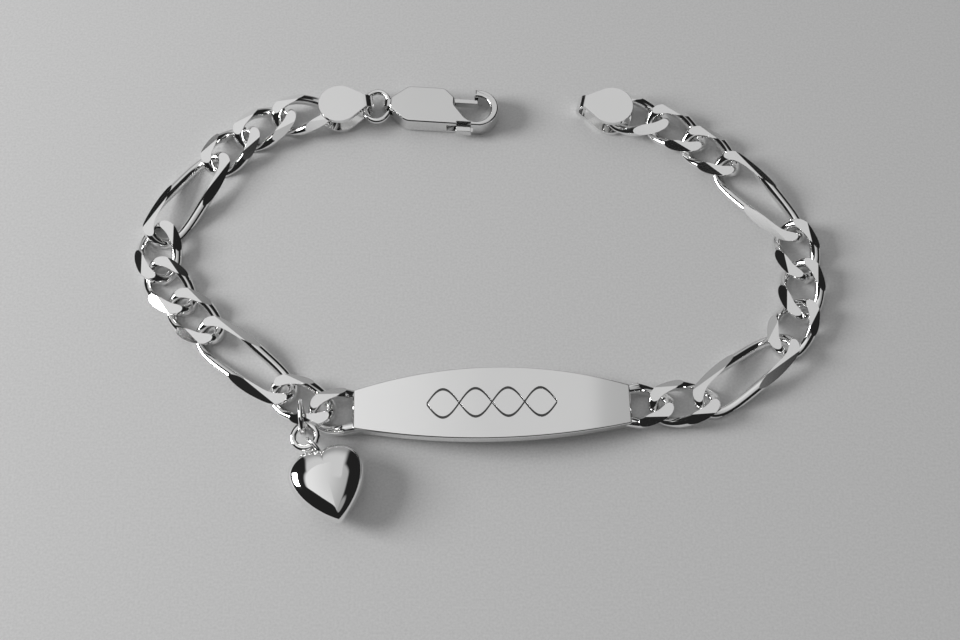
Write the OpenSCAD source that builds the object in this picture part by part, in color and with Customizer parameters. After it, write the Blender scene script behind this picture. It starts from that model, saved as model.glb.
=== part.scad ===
// Identity bracelet: a filed figaro chain with a name plate, a trigger clasp and a heart charm,
// lying open on a flat surface. Millimetres, +Z up, the surface at z = 0.

/* [Chain] */
// Diameter of the wire that the links are bent from
link_wire = 1.35; // [1.2:0.05:1.4]
// Play between two hooked links when the chain is pulled straight
link_play = 0.55; // [0.5:0.05:0.7]
// Outside breadth of every link
link_breadth = 5.75; // [5.6:0.05:6]
// Spacing that a short link adds to the chain
short_pitch = 5.3; // [5:0.1:5.6]
// Spacing that a long link adds to the chain
long_pitch = 11.9; // [10.5:0.1:13]
// How far a short link's wire is twisted above and below its middle
short_rise = 0.9; // [0.85:0.05:1]
// How far a long link's wire is twisted above and below its middle
long_rise = 1; // [0.9:0.05:1.05]
// Height left between the two filed faces of the chain
filed_height = 1.9; // [1.8:0.05:2]
// Distance from the chain's middle to the edge of its flat filed face
flat_reach = 1.85; // [1.75:0.05:1.9]
// How steeply the filed side faces fall away from the flat faces, in degrees
bevel_slope = 30; // [27:1:33]

/* [Name plate] */
// Length of the plate without its loops
plate_length = 32.1; // [30:0.1:36]
// Width at the middle of the plate
plate_mid_width = 8.9; // [8:0.1:10]
// Width at the ends of the plate
plate_end_width = 4.8; // [4.6:0.1:5.4]
// Thickness at the middle of the plate
plate_mid_thickness = 1.35; // [1.25:0.05:1.6]
// Thickness at the ends of the plate
plate_end_thickness = 1.2; // [1:0.05:1.3]
// How much higher the middle of the top face lies than its ends
plate_bow = 1.25; // [0.6:0.05:1.3]
// Height of the top face at its ends
plate_end_top = 1.65; // [1.6:0.05:1.8]
// Slanted edge round the plate's faces
plate_edge = 0.2; // [0.1:0.05:0.3]
// From the plate's end to the point where the next link hooks in
loop_reach = 3.55; // [3.3:0.05:3.7]

/* [End caps] */
// Diameter of the round end that is soldered over the last link
cap_disc = 5.3; // [5:0.1:5.6]
// From the middle of the round end to the folded end
cap_reach = 4.4; // [4.2:0.1:4.8]
// Width of the folded end
cap_neck = 1.8; // [1.6:0.1:2]
// Length of the straight neck behind the fold
cap_neck_length = 1.1; // [0.9:0.1:1.3]
// Outside height of the folded cap
cap_height = 2.9; // [2.8:0.05:3]
// Thickness of the strip that the cap is folded from
cap_wall = 0.55; // [0.52:0.01:0.58]
// Wall at the bend that the jump ring pulls on
cap_bend_wall = 0.4; // [0.35:0.05:0.5]
// How far the left cap's round end is centred past the last hooking point
left_cap_seat = 1.8; // [1.6:0.1:1.9]
// How far the right cap's round end is centred past the last hooking point
right_cap_seat = 0.7; // [0.6:0.1:1]

/* [Jump ring] */
// Diameter of the jump ring's wire
ring_wire = 0.75; // [0.65:0.05:0.8]
// Outside size of the oval jump ring along the chain
ring_length = 3.95; // [3.8:0.05:4.2]
// Outside size of the oval jump ring across the chain
ring_breadth = 5.1; // [4.9:0.05:5.2]
// Room between the jump ring's wire and the bend of the end cap
bend_play = 0.35; // [0.3:0.05:0.45]
// Room round the jump ring's wire in the clasp's eye
eye_play = 0.22; // [0.2:0.01:0.25]

/* [Clasp] */
// Height of the clasp
clasp_height = 2.3; // [2.25:0.05:2.6]
// Width over the shoulders of the clasp
clasp_width = 5.3; // [5.2:0.1:5.8]
// From the clasp's eye to the end of its solid body
clasp_body_reach = 8.2; // [8.1:0.05:8.3]
// From the clasp's eye to the middle of its hook
hook_middle = 11.1; // [10.95:0.05:11.2]
// Radius of the opening inside the hook
hook_hole = 1.85; // [1.7:0.05:1.95]
// Where the tip of the hook ends, before the middle of the hook
nose_setback = 0.45; // [0.4:0.05:0.6]
// Outside radius of the eye that the jump ring passes
eye_radius = 0.95; // [0.9:0.05:1.1]
// Width of the eye
eye_width = 1; // [0.9:0.1:1.1]
// Thickness of the trigger
lever_height = 1; // [0.9:0.05:1.1]
// Room above and below the trigger in its slot
lever_play = 0.1; // [0.08:0.01:0.15]
// Radius of the pivot pin
pin_radius = 0.4; // [0.35:0.05:0.45]
// Running room of the trigger on its pin
pin_play = 0.06; // [0.05:0.01:0.08]
// How deep each end of the pin is set into the body
pin_set = 0.35; // [0.3:0.05:0.4]
// Room round the pin in the body, where it is pressed in
pin_fit = 0.02; // [0.01:0.005:0.03]
// How far the thumb tab stands out of the clasp's side
tab_reach = 0.65; // [0.5:0.05:0.8]

/* [Charm] */
// Outside diameter of the ring that hangs on the chain
charm_ring_size = 4.6; // [4.5:0.05:4.8]
// Wire of the ring that hangs on the chain
charm_ring_wire = 0.6; // [0.5:0.05:0.6]
// Outside diameter of the second, smaller ring
eye_ring_size = 3.6; // [3.5:0.05:3.8]
// Wire of the second ring
eye_ring_wire = 0.85; // [0.75:0.05:0.9]
// Outside diameter of the loop that is soldered to the heart
heart_loop_size = 3; // [2.8:0.05:3.2]
// Wire of the heart's loop
heart_loop_wire = 0.5; // [0.45:0.05:0.55]
// Width of the heart
heart_width = 8.7; // [8:0.1:9.4]
// Length of the heart from its lobes to its tip
heart_length = 9; // [8.4:0.1:9.6]
// Thickness of the heart
heart_thickness = 4.2; // [3.8:0.1:4.6]

/* [Hidden] */
$fn = 48;
// How far a cutting solid runs past the face that it opens
cut_over = 1;

// The way the chain lies, walked outwards from the plate: which links are long, the heading of
// each link in degrees, and the height of each hooking point above the surface.
left_long = [false, true, false, false, false, true, false, false, false];
left_headings = [153, 140, 134, 125, 93, 59, 47, 30, 8];
left_lifts = [0.22, 0.1, 0.03, 0.01, 0.004, 0.002, 0.012, 0.06, 0.25, 0.5];
right_long = [false, true, false, false, false, true, false, false, false];
right_headings = [4.5, 37, 62, 85, 97, 128, 138, 145, 168];
right_lifts = [0, 0, 0, 0, 0, 0.002, 0.012, 0.06, 0.25, 0.5];
plate_heading = 1.3;
clasp_heading = -4;
ring_heading = -2;
charm_ring_heading = -84;
heart_loop_heading = -48;
heart_heading = -73;

// Facets of the bent wire
wire_sides = 8;
short_steps = 20;
long_steps = 28;

wire_r = link_wire / 2;
row = link_breadth / 2 - wire_r;
short_half = (short_pitch + link_wire + link_play) / 2;
long_half = (long_pitch + link_wire + link_play) / 2;
link_mid = filed_height / 2;

function side_of(value) = value < 0 ? -1 : 1;
function along(angle, reach) = [reach * cos(angle), reach * sin(angle)];
function lift(point, height) = [point.x, point.y, height];

// A link's centre line: power 2 is an oval, power 4 has long straight sides. The wire twists
// once up and once down on its way round, so that neighbours can hook into each other.
function twist_gain(power) = 1 / (pow(2 / (power + 2), 1 / power) * sqrt(power / (power + 2)));
function link_line(angle, half, power, rise) = let(
        u = cos(angle),
        v = side_of(sin(angle)) * sqrt(max(0, 1 - pow(abs(u), power))))
    [half * u, row * v, -rise * twist_gain(power) * u * v];

// The saw and the file take off everything above a flat face and outside a slanted one.
function filed(point) = let(
        over = max(0, (abs(point.y) - flat_reach) * sin(bevel_slope)
            + (abs(point.z) - filed_height / 2) * cos(bevel_slope)))
    [point.x,
     side_of(point.y) * (abs(point.y) - over * sin(bevel_slope)),
     side_of(point.z) * min(abs(point.z) - over * cos(bevel_slope), filed_height / 2)];

// One round cross section of wire, square to the line that it follows.
function wire_section(centre, tangent, radius) = let(
        side = [tangent.y, -tangent.x, 0] / norm([tangent.x, tangent.y]),
        up = cross(side, tangent) / norm(tangent))
    [for (k = [0 : wire_sides - 1]) let(a = (k + 0.5) * 360 / wire_sides)
        centre + radius * (cos(a) * side + sin(a) * up)];

function flatten(lists) = [for (list = lists) for (item = list) item];

// Faces of a skin over rings of equally many points. A closed skin joins its last ring to the
// first, an open one ends in two flat lids.
function skin_faces(rings, sides, closed) = concat(
    [for (i = [0 : rings - (closed ? 1 : 2)]) for (k = [0 : sides - 1]) let(
            j = (i + 1) % rings,
            n = (k + 1) % sides)
        [i * sides + k, i * sides + n, j * sides + n]],
    [for (i = [0 : rings - (closed ? 1 : 2)]) for (k = [0 : sides - 1]) let(
            j = (i + 1) % rings,
            n = (k + 1) % sides)
        [i * sides + k, j * sides + n, j * sides + k]],
    closed ? [] : [for (k = [1 : sides - 2]) [0, k + 1, k]],
    closed ? [] : [for (k = [1 : sides - 2]) let(base = (rings - 1) * sides)
        [base, base + k, base + k + 1]]);

module skin(sections, closed = false)
    polyhedron(
        points = flatten(sections),
        faces = skin_faces(len(sections), len(sections[0]), closed),
        convexity = 6);

function link_sections(half, power, rise, angles) = [for (a = angles) let(
        centre = link_line(a, half, power, rise),
        tangent = link_line(a + 1, half, power, rise) - link_line(a - 1, half, power, rise))
    [for (point = wire_section(centre, tangent, wire_r)) filed(point)]];

function round_steps(count) = [for (i = [0 : count - 1]) (i + 0.5) * 360 / count];
short_sections = link_sections(short_half, 2, short_rise, round_steps(short_steps));
long_sections = link_sections(long_half, 4, long_rise, round_steps(long_steps));

// Walk along the chain: the hooking points, one more than there are links.
function pitch_of(long) = long ? long_pitch : short_pitch;
function walk(start, long, headings, count) = count == 0 ? start :
    walk(start, long, headings, count - 1)
        + along(headings[count - 1], pitch_of(long[count - 1]));

left_start = along(plate_heading, -plate_length / 2 - loop_reach);
right_start = along(plate_heading, plate_length / 2 + loop_reach);
left_joints = [for (i = [0 : len(left_long)]) walk(left_start, left_long, left_headings, i)];
right_joints = [for (i = [0 : len(right_long)]) walk(right_start, right_long, right_headings, i)];

function link_spot(joints, lifts, i) =
    lift((joints[i] + joints[i + 1]) / 2, link_mid + (lifts[i] + lifts[i + 1]) / 2);
function link_slope(long, lifts, i) = asin((lifts[i + 1] - lifts[i]) / pitch_of(long[i]));
function placed(point, spot, heading, slope) = let(
        x = point.x * cos(slope) - point.z * sin(slope),
        z = point.x * sin(slope) + point.z * cos(slope))
    spot + [x * cos(heading) - point.y * sin(heading), x * sin(heading) + point.y * cos(heading), z];

// End caps, the jump ring and the clasp continue the walk from the last hooking point.
function cap_spot(joints, headings, seat) =
    joints[len(joints) - 1] + along(headings[len(headings) - 1], seat);
left_cap_spot = cap_spot(left_joints, left_headings, left_cap_seat);
right_cap_spot = cap_spot(right_joints, right_headings, right_cap_seat);
left_cap_heading = left_headings[len(left_headings) - 1];
right_cap_heading = right_headings[len(right_headings) - 1];
ring_half_length = (ring_length - ring_wire) / 2;
ring_half_breadth = (ring_breadth - ring_wire) / 2;
// The oval's wire curves away from the bend by this much over the neck's width
ring_curve = ring_half_length
    * (1 - sqrt(1 - pow(cap_neck / 2 / ring_half_breadth, 2)));
ring_seat = cap_reach - cap_bend_wall - bend_play - ring_wire / 2 - ring_curve;
ring_shift = 0.25;
ring_spot = left_cap_spot + along(left_cap_heading, ring_seat)
    + along(left_cap_heading + 90, ring_shift) + along(ring_heading, ring_half_length);
clasp_spot = ring_spot + along(ring_heading, ring_half_length);
holding_height = clasp_height / 2;

// The charm's rings and its heart, each placed from the one before.
hang_turn = 111;
hang_point = placed(link_line(hang_turn, short_half, 2, short_rise),
    link_spot(left_joints, left_lifts, 0), left_headings[0],
    link_slope(left_long, left_lifts, 0));
charm_ring_r = (charm_ring_size - charm_ring_wire) / 2;
charm_ring_mid = charm_ring_size / 2;
hang_sag = 0.14;
charm_ring_spot = [hang_point.x, hang_point.y] + along(charm_ring_heading, hang_sag);
eye_ring_r = (eye_ring_size - eye_ring_wire) / 2;
eye_ring_mid = 2.34;
eye_ring_slope = 9;
eye_ring_turn = 26;
charm_ring_end = charm_ring_spot + along(charm_ring_heading,
    sqrt(pow(charm_ring_r, 2) - pow(charm_ring_mid - eye_ring_mid, 2)));
eye_ring_shift = [0.25, -0.3];
eye_ring_spot = charm_ring_end + eye_ring_shift;
heart_loop_r = (heart_loop_size - heart_loop_wire) / 2;
loop_turn = -51;
eye_ring_hold = placed(lift(along(loop_turn - eye_ring_turn, eye_ring_r), 0),
    lift(eye_ring_spot, eye_ring_mid), eye_ring_turn, eye_ring_slope);
loop_play = 0.2;
heart_loop_spot = [eye_ring_hold.x, eye_ring_hold.y] + along(heart_loop_heading,
    heart_loop_r - heart_loop_wire / 2 - eye_ring_wire / 2 - loop_play);
heart_sink = 0.02;
heart_cleft = heart_loop_spot + along(heart_loop_heading, heart_loop_r - heart_sink);

// Heart outline by angle, clockwise from the cleft, and the rise of its puffed faces.
heart_steps = 40;
heart_levels = [-90, -72, -54, -34, -12, 12, 34, 54, 72, 90];
heart_crown = 0.18;
heart_peak_turn = 46;
heart_fullness = 2.4;
heart_shoulder = 0.45;
function heart_high(t) = 13 * cos(t) - 3.2 * cos(2 * t) - 1.2 * cos(3 * t) - 0.4 * cos(4 * t);
heart_top = heart_high(heart_peak_turn);
heart_low = heart_high(180);
// The lobes close to a notch with the higher power, the flanks to a blunt tip with the lower.
cleft_power = 3;
tip_power = 1.6;
function heart_edge(t) =
    [heart_width / 2 * side_of(sin(t)) * pow(abs(sin(t)), cos(t) > 0 ? cleft_power : tip_power),
     heart_length * heart_high(t) / (heart_top - heart_low)];
function heart_scale(level) =
    max(heart_crown, pow(1 - pow(abs(sin(level)), heart_fullness), heart_shoulder));
// The outline gets rounder as the puffed face rises towards its middle.
heart_round = 0.45 * heart_width;
function heart_point(t, scale) = let(edge = heart_edge(t), kept = pow(scale, 1.6))
    edge * scale * (kept + (1 - kept) * heart_round / norm(edge));
heart_sections = [for (level = heart_levels)
    [for (i = [0 : heart_steps - 1])
        lift(heart_point(i * 360 / heart_steps, heart_scale(level)),
            heart_thickness / 2 * sin(level))]];
cleft_height = heart_edge(0).y;
heart_spot = lift(heart_cleft + along(heart_heading, cleft_height), heart_thickness / 2);

// Plate sections from end to end, each an eight-cornered outline with slanted edges.
plate_steps = 16;
function plate_share(t) = 1 - t * t;
function plate_section(t) = let(
        share = plate_share(t),
        half = (plate_end_width + (plate_mid_width - plate_end_width) * share) / 2,
        top = plate_end_top + plate_bow * share,
        low = top - plate_end_thickness - (plate_mid_thickness - plate_end_thickness) * share,
        x = t * plate_length / 2)
    [[x, -half, low + plate_edge], [x, -half, top - plate_edge],
     [x, plate_edge - half, top], [x, half - plate_edge, top],
     [x, half, top - plate_edge], [x, half, low + plate_edge],
     [x, half - plate_edge, low], [x, plate_edge - half, low]];

// A half link that is soldered to the plate: its open end runs straight into the plate.
loop_middle = loop_reach + (link_wire + link_play) / 2 - short_half;
root_depth = 1.4;
root_reach = loop_middle + root_depth;
loop_angles = [for (i = [0 : 12]) 90 + i * 15];
function root_at(x, y, tangent) =
    [for (point = wire_section([x, y, 0], [tangent, 0, 0], wire_r)) filed(point)];
// The wire's ends run a little inwards, so that they stay under the narrow end of the plate.
root_row = 1.8;
loop_sections = concat([root_at(root_reach, root_row, -1)],
    link_sections(short_half, 2, short_rise, loop_angles),
    [root_at(root_reach, -root_row, 1)]);

// Clasp outlines in its own frame: x from the eye towards the hook, y towards the gate.
clasp_half = clasp_width / 2;
shoulder = 2.2;
far_corner = 6.85;
corner_drop = 1.35;
tail_half = 0.8;
hook_flare = 0.05;
hook_outer = clasp_half + hook_flare;
hook_hole_shift = [-0.15, -0.2];
mouth_round = 0.95;
mouth_low = -0.35;
nose_x = hook_middle - nose_setback;
body_outline = [[0, tail_half], [shoulder, clasp_half], [far_corner, clasp_half],
    [clasp_body_reach, clasp_half - corner_drop], [hook_middle, 0],
    [hook_middle, -clasp_half], [shoulder, -clasp_half], [0, -tail_half]];
slot_low = clasp_height / 2 - lever_height / 2 - lever_play;
slot_height = lever_height + 2 * lever_play;
pivot = [7, 0.2];
hub_radius = 0.9;
hub_play = 0.2;
gate_outer = 1.5;
gate_width = 0.65;
gate_lap = 0.45;
gate_start = 8;
gate_end = nose_x + gate_lap;
gate_root_turn = 97;
thumb_root_turn = 227;
arm_root = hub_radius - 0.05;
tab_left = 8.6;
tab_right = 10.5;
slot_margin = 0.2;
hook_side = -clasp_half;
tab_end = hook_side - tab_reach;
tab_root = hook_side + 0.25;
crook = [7.75, -0.1];
// Behind the wall the trigger widens into a skirt that covers the slot from inside.
skirt_reach = 2.43;
skirt_turn = 80;
skirt_start = acos((tab_left - pivot.x) / skirt_reach);
skirt = [for (share = [0 : 0.25 : 1])
    pivot + along(-skirt_start - (skirt_turn - skirt_start) * share, skirt_reach)];
lever_arms = concat(
    [pivot + along(gate_root_turn, arm_root), [gate_start, gate_outer],
        [gate_end, gate_outer], [gate_end, gate_outer - gate_width],
        [gate_start, gate_outer - gate_width], crook,
        [tab_right, tab_root], [tab_right, tab_end], [tab_left, tab_end]],
    skirt, [pivot + along(thumb_root_turn, arm_root)]);
// The slot clears the trigger from shut to fully drawn back.
slot_wall = hook_side + 0.3;
slot_left = 7.4;
slot_outline = [[6.3, 1], [7.2, gate_outer + slot_margin], [8.7, gate_outer + slot_margin],
    [9.6, 0.2], [tab_right + slot_margin, -1.4], [tab_right + slot_margin, tab_end],
    [slot_left, tab_end], [slot_left, slot_wall], [6.3, slot_wall], [5.9, -0.5]];
// A notch in the upper wall shows the trigger above its tab.
notch_depth = 0.4;

function clasp_placed(point) = placed(lift(point, 0), lift(clasp_spot, 0), clasp_heading, 0);

ring_sections = [for (a = round_steps(short_steps)) wire_section(
    [ring_half_length * cos(a), ring_half_breadth * sin(a), 0],
    [-ring_half_length * sin(a), ring_half_breadth * cos(a), 0], ring_wire / 2)];

// The origin sits under the middle of the whole bracelet.
all_points = concat(
    flatten([for (i = [0 : len(left_long) - 1])
        [for (point = flatten(left_long[i] ? long_sections : short_sections))
            placed(point, link_spot(left_joints, left_lifts, i), left_headings[i],
                link_slope(left_long, left_lifts, i))]]),
    flatten([for (i = [0 : len(right_long) - 1])
        [for (point = flatten(right_long[i] ? long_sections : short_sections))
            placed(point, link_spot(right_joints, right_lifts, i), right_headings[i],
                link_slope(right_long, right_lifts, i))]]),
    [for (point = flatten(heart_sections)) placed(point, heart_spot, heart_heading + 90, 0)],
    [for (point = body_outline) clasp_placed(point)],
    [for (point = flatten(ring_sections)) placed(point, lift(ring_spot, 0), ring_heading, 0)],
    [for (spot = [left_cap_spot, right_cap_spot]) lift(spot + [0, cap_disc / 2], 0)]);
all_x = [for (point = all_points) point.x];
all_y = [for (point = all_points) point.y];
middle = [(min(all_x) + max(all_x)) / 2, (min(all_y) + max(all_y)) / 2];

module laid() translate([-middle.x, -middle.y, 0]) children();

module chain_link(joints, lifts, long, headings, i)
    translate(link_spot(joints, lifts, i))
        rotate([0, -link_slope(long, lifts, i), headings[i]])
            skin(long[i] ? long_sections : short_sections, closed = true);

module left_link(number) color("silver") laid()
    chain_link(left_joints, left_lifts, left_long, left_headings, number - 1);

module right_link(number) color("silver") laid()
    chain_link(right_joints, right_lifts, right_long, right_headings, number - 1);

// A cap is a strip folded round the jump ring; its two round ends sandwich the last link.
module cap_profile() {
    bend = cap_height / 2;
    inner_bend = bend - cap_wall;
    difference() {
        union() {
            translate([-cap_disc, 0])
                square([cap_disc + cap_reach - bend, cap_height]);
            translate([cap_reach - bend, bend])
                circle(r = bend);
        }
        translate([-cap_disc - cut_over, cap_wall])
            square([cap_disc + cut_over + cap_reach - cap_bend_wall - inner_bend, 2 * inner_bend]);
        translate([cap_reach - cap_bend_wall - inner_bend, bend])
            circle(r = inner_bend);
    }
}

// The taper leaves the round end this many degrees before the straight line to the fold would.
taper_lead = 14;

module cap_outline() {
    taper_turn = acos((cap_disc - cap_neck) / 2 / cap_reach) - taper_lead;
    tangent_point = along(taper_turn, cap_disc / 2);
    circle(d = cap_disc);
    neck_start = cap_reach - cap_neck_length;
    polygon([tangent_point, [neck_start, cap_neck / 2], [cap_reach, cap_neck / 2],
        [cap_reach, -cap_neck / 2], [neck_start, -cap_neck / 2],
        [tangent_point.x, -tangent_point.y]]);
}

module cap(spot, heading)
    translate(lift(spot, 0)) rotate([0, 0, heading])
        intersection() {
            linear_extrude(height = cap_height) cap_outline();
            translate([0, cap_disc, 0]) rotate([90, 0, 0])
                linear_extrude(height = 2 * cap_disc) cap_profile();
        }

module left_end_cap() color("silver") laid() {
    cap(left_cap_spot, left_cap_heading);
    chain_link(left_joints, left_lifts, left_long, left_headings, len(left_long) - 1);
}

module right_end_cap() color("silver") laid() {
    cap(right_cap_spot, right_cap_heading);
    chain_link(right_joints, right_lifts, right_long, right_headings, len(right_long) - 1);
}

module half_loop() skin(loop_sections);

module id_plate() color("gainsboro") laid() rotate([0, 0, plate_heading]) {
    skin([for (i = [0 : plate_steps]) plate_section(2 * i / plate_steps - 1)]);
    translate([-plate_length / 2 - loop_middle, 0, link_mid]) half_loop();
    translate([plate_length / 2 + loop_middle, 0, link_mid]) rotate([0, 0, 180]) half_loop();
}

module jump_ring() color("silver") laid()
    translate(lift(ring_spot, holding_height)) rotate([0, 0, ring_heading])
        skin(ring_sections, closed = true);

module at_clasp() laid() translate(lift(clasp_spot, 0)) rotate([0, 0, clasp_heading]) children();

module clasp_plan() {
    difference() {
        union() {
            polygon(body_outline);
            translate([hook_middle, 0]) circle(r = hook_outer);
        }
        hull() {
            translate([hook_middle, 0] + hook_hole_shift) circle(r = hook_hole);
            translate([clasp_body_reach + mouth_round, mouth_low + mouth_round])
                circle(r = mouth_round);
        }
        translate([clasp_body_reach, mouth_low + mouth_round])
            square([nose_x - clasp_body_reach, clasp_width]);
    }
}

module lever_slot() {
    translate(pivot) circle(r = hub_radius + hub_play);
    polygon(slot_outline);
}

module clasp_body() color("silver") at_clasp()
    difference() {
        union() {
            linear_extrude(height = clasp_height) clasp_plan();
            translate([0, eye_width / 2, holding_height]) rotate([90, 0, 0])
                cylinder(r = eye_radius, h = eye_width);
        }
        translate([0, clasp_half, holding_height]) rotate([90, 0, 0])
            cylinder(r = ring_wire / 2 + eye_play, h = clasp_width);
        translate([0, 0, slot_low]) linear_extrude(height = slot_height) lever_slot();
        translate([tab_left, hook_side - cut_over, slot_low + lever_play])
            cube([tab_right - tab_left, cut_over + notch_depth, clasp_height]);
        translate([pivot.x, pivot.y, slot_low - pin_set])
            cylinder(r = pin_radius + pin_fit, h = slot_height + 2 * pin_set);
    }

module clasp_pin() color("gray") at_clasp()
    translate([pivot.x, pivot.y, slot_low - pin_set + pin_fit])
        cylinder(r = pin_radius, h = slot_height + 2 * (pin_set - pin_fit));

module clasp_lever() color("lightgray") at_clasp()
    translate([0, 0, slot_low + lever_play])
        difference() {
            union() {
                translate([pivot.x, pivot.y, 0]) cylinder(r = hub_radius, h = lever_height);
                linear_extrude(height = lever_height) polygon(lever_arms);
            }
            translate([pivot.x, pivot.y, -cut_over])
                cylinder(r = pin_radius + pin_play, h = lever_height + 2 * cut_over);
        }

module wire_ring(centre_radius, wire)
    rotate_extrude($fn = 96) translate([centre_radius, 0]) circle(d = wire, $fn = 64);

module charm_ring() color("silver") laid()
    translate(lift(charm_ring_spot, charm_ring_mid))
        rotate([90, 0, charm_ring_heading]) wire_ring(charm_ring_r, charm_ring_wire);

module eye_ring() color("silver") laid()
    translate(lift(eye_ring_spot, eye_ring_mid))
        rotate([0, -eye_ring_slope, eye_ring_turn]) wire_ring(eye_ring_r, eye_ring_wire);

module heart_charm() color("silver") laid() {
    translate(heart_spot) rotate([0, 0, heart_heading + 90]) skin(heart_sections);
    translate(lift(heart_loop_spot, eye_ring_hold.z)) rotate([90, 0, heart_loop_heading])
        skin([for (a = round_steps(16)) wire_section(
            heart_loop_r * [cos(a), sin(a), 0], [-sin(a), cos(a), 0], heart_loop_wire / 2)],
            closed = true);
}

id_plate();
left_link(1);  // left_link_1
left_link(2);  // left_link_2
left_link(3);  // left_link_3
left_link(4);  // left_link_4
left_link(5);  // left_link_5
left_link(6);  // left_link_6
left_link(7);  // left_link_7
left_link(8);  // left_link_8
left_end_cap();
right_link(1);  // right_link_1
right_link(2);  // right_link_2
right_link(3);  // right_link_3
right_link(4);  // right_link_4
right_link(5);  // right_link_5
right_link(6);  // right_link_6
right_link(7);  // right_link_7
right_link(8);  // right_link_8
right_end_cap();
jump_ring();
clasp_body();
clasp_pin();
clasp_lever();
charm_ring();
eye_ring();
heart_charm();
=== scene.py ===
# %% [markdown]
# This scene dresses an identity bracelet in polished silver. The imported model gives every
# piece its place, and each cell below makes one kind of piece at the detail that shows in a
# close photograph: links bent from round wire and then filed flat, a bowed plate, folded
# end caps, a cast trigger clasp, and a puffed heart on its rings.

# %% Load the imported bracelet
from math import acos, asin, atan2, cos, degrees, pi, radians, sin, sqrt, tan

import bmesh
import bpy
from mathutils import Matrix, Vector


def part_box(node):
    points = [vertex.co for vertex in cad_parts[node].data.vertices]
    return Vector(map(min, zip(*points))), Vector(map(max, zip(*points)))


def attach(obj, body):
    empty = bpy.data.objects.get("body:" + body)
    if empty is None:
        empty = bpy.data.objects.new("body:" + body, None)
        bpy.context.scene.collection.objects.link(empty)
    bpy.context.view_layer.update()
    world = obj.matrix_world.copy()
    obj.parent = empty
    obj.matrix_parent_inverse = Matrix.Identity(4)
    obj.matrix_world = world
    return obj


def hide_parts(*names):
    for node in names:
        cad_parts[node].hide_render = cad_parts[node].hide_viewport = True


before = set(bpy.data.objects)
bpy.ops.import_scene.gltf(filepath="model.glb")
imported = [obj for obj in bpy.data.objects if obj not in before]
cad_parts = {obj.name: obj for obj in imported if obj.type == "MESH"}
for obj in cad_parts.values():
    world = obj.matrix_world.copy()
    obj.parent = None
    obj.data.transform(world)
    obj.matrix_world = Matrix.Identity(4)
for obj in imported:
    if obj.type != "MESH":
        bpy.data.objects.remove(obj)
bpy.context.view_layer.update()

print("nodes in the frame:", len(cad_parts))

# %% [markdown]
# A jeweller measures in millimetres, so every piece is made in millimetres at the origin and
# is only scaled to metres when it is laid in its place. The sizes are those of the solids.

# %% Sizes of the chain, in millimetres
MM = 0.001
LINK_WIRE = 1.35
LINK_PLAY = 0.55
LINK_BREADTH = 5.75
SHORT_PITCH = 5.3
LONG_PITCH = 11.9
SHORT_RISE = 0.9
LONG_RISE = 1.0
FILED_HEIGHT = 1.9
FLAT_REACH = 1.85
BEVEL_SLOPE = 30
WIRE_ROW = (LINK_BREADTH - LINK_WIRE) / 2
SHORT_HALF = (SHORT_PITCH + LINK_WIRE + LINK_PLAY) / 2
LONG_HALF = (LONG_PITCH + LINK_WIRE + LINK_PLAY) / 2

PLATE_LENGTH = 32.1
PLATE_HEADING = 1.3
LOOP_REACH = 3.55
BRACELET = "bracelet"
LEVER = "lever"


def node_middle(node):
    """Middle of a solid's box, in millimetres."""
    low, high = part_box(node)
    return (low + high) / (2 * MM)


plate_middle = node_middle("id_plate")
print("plate middle in mm:", [round(v, 2) for v in plate_middle])

# %% [markdown]
# Node trees are written as Python expressions. A Value wraps one socket, and an operator on it
# adds a Math node. Every other node comes from the tree's own node method, which sets the
# node's settings first and its sockets after that.

# %% Node trees from expressions


class Value:
    """One output socket of a node tree, on which Python's operators work."""

    def __init__(self, tree, socket):
        self.tree = tree
        self.socket = socket

    def math(self, operation, first, second=None):
        sockets = {0: first} if second is None else {0: first, 1: second}
        return self.tree.node("ShaderNodeMath", {"operation": operation}, sockets)

    def __add__(self, other):
        return self.math("ADD", self, other)

    def __radd__(self, other):
        return self.math("ADD", other, self)

    def __sub__(self, other):
        return self.math("SUBTRACT", self, other)

    def __rsub__(self, other):
        return self.math("SUBTRACT", other, self)

    def __mul__(self, other):
        return self.math("MULTIPLY", self, other)

    def __rmul__(self, other):
        return self.math("MULTIPLY", other, self)

    def __truediv__(self, other):
        return self.math("DIVIDE", self, other)

    def size(self):
        return self.math("ABSOLUTE", self)

    def sign(self):
        return self.math("SIGN", self)

    def sine(self):
        return self.math("SINE", self)

    def fade(self, start, end):
        """0 at the start and 1 at the end, with a soft step between."""
        sockets = {"Value": self, "From Min": start, "From Max": end}
        return self.tree.node("ShaderNodeMapRange", {"interpolation_type": "SMOOTHSTEP"}, sockets)

    def output(self, name):
        """Another output of the same node."""
        return Value(self.tree, self.socket.node.outputs[name])


class Tree:
    """A node tree that is filled by code."""

    def __init__(self, tree):
        self.tree = tree
        tree.nodes.clear()

    def node(self, kind, settings=None, sockets=None, output=0):
        made = self.tree.nodes.new(kind)
        for name, setting in (settings or {}).items():
            setattr(made, name, setting)
        for name, value in (sockets or {}).items():
            for one in value if isinstance(value, list) else [value]:
                if isinstance(one, Value):
                    self.tree.links.new(one.socket, made.inputs[name])
                else:
                    made.inputs[name].default_value = one
        return Value(self, made.outputs[output]) if len(made.outputs) else made

    def larger(self, first, second):
        return self.node("ShaderNodeMath", {"operation": "MAXIMUM"}, {0: first, 1: second})

    def mixed(self, factor, first, second):
        """The first colour where the factor is 0, the second where it is 1."""
        sockets = {"Factor": factor, 6: first, 7: second}
        return self.node("ShaderNodeMix", {"data_type": "RGBA"}, sockets, output=2)


def grey(shade):
    return (shade, shade, shade, 1)


print("colour of a middle grey:", grey(0.5))

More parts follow.
